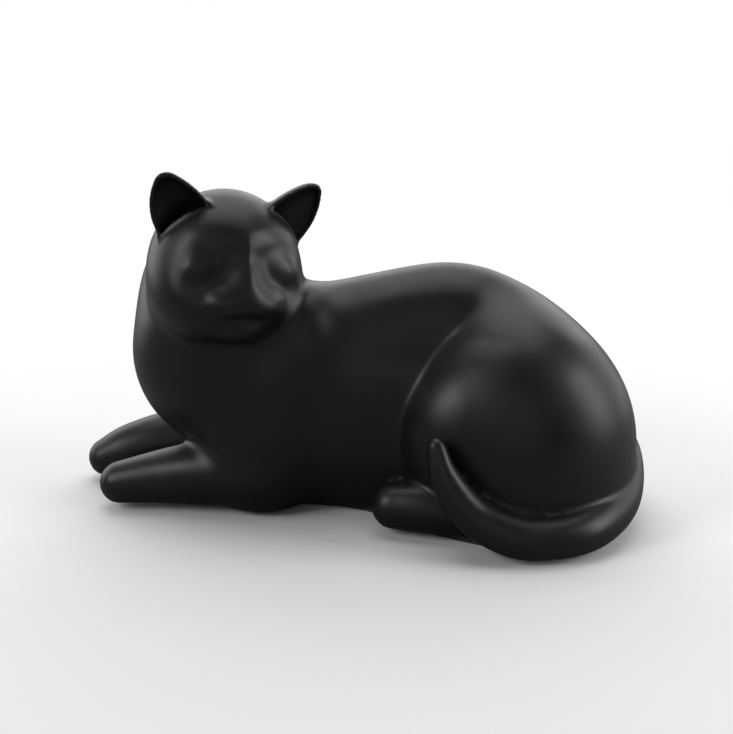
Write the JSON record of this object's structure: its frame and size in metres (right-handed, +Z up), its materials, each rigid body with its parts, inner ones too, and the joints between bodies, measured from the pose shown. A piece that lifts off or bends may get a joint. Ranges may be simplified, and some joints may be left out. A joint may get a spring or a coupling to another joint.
{
  "type": "figural television lamp",
  "caption": "Hollow black-glazed reclining cat that hides a keyed lampholder and throws its light backwards through an oval opening.",
  "frame": {"origin": "on the felt's underside, below the ribs", "axes": "+X from the head to the rump, -Y the side that the face and the tail are on, +Y the side that the light leaves, +Z up"},
  "size_m": [0.3069, 0.1486, 0.1849],
  "materials": {
    "black_glaze": "fired black glaze, satin",
    "felt": "pressed wool felt",
    "zinc_steel": "zinc plated",
    "brass": "drawn brass, dulled",
    "phenolic": "moulded phenolic",
    "fibre": "vulcanised fibre",
    "bulb_glass": "clear blown glass",
    "black_glass": "black vitrite",
    "tungsten": "drawn tungsten wire",
    "solder": "soft solder",
    "brown_lead": "brown insulated lead",
    "blue_lead": "blue insulated lead"
  },
  "bodies": {
    "lamp": {"cat_figure": "black_glaze", "felt_pad": "felt", "base_plate": "zinc_steel", "base_screw_1": "zinc_steel", "base_screw_2": "zinc_steel", "base_screw_3": "zinc_steel", "base_screw_4": "zinc_steel", "base_insert_1": "brass", "base_insert_2": "brass", "base_insert_3": "brass", "base_insert_4": "brass", "lamp_bracket": "zinc_steel", "bracket_screw_1": "zinc_steel", "bracket_screw_2": "zinc_steel", "bracket_nut_1": "zinc_steel", "bracket_nut_2": "zinc_steel", "holder_nipple": "brass", "nipple_nut": "brass", "nipple_lock_washer": "zinc_steel", "holder_cap": "brass", "holder_core": "phenolic", "line_terminal_screw": "brass", "neutral_terminal_screw": "brass", "centre_contact": "brass", "screw_shell": "brass", "holder_liner": "fibre", "holder_shell": "brass", "inlet_body": "phenolic", "inlet_nut": "zinc_steel", "inlet_pin_line": "brass", "inlet_pin_neutral": "brass", "line_lead": "brown_lead", "neutral_lead": "blue_lead"},
    "key": {"switch_key": "brass"},
    "bulb_tip": {"bulb_contact": "solder"},
    "bulb": {"bulb_glass": "bulb_glass", "bulb_cap": "brass", "bulb_insulator": "black_glass", "bulb_stem": "bulb_glass", "bulb_filament": "tungsten"}
  },
  "joints": [
    {"name": "key_turn", "type": "hinge", "parent": "lamp", "child": "key", "pos_m": [0.06, -0.006, 0.041], "axis": [0, 1, 0], "continuous": true},
    {"name": "bulb_lift", "type": "slide", "parent": "lamp", "child": "bulb_tip", "axis": [0, 0, 1], "range_m": [0, 0.0146]},
    {"name": "bulb_turn", "type": "hinge", "parent": "bulb_tip", "child": "bulb", "pos_m": [0.06, -0.006, 0.0865], "axis": [0, 0, 1], "range_deg": [0, 1440]}
  ],
  "couplings": [
    {"joint": "bulb_lift", "follows": "bulb_turn", "m_per_rad": 0.00057773}
  ]
}
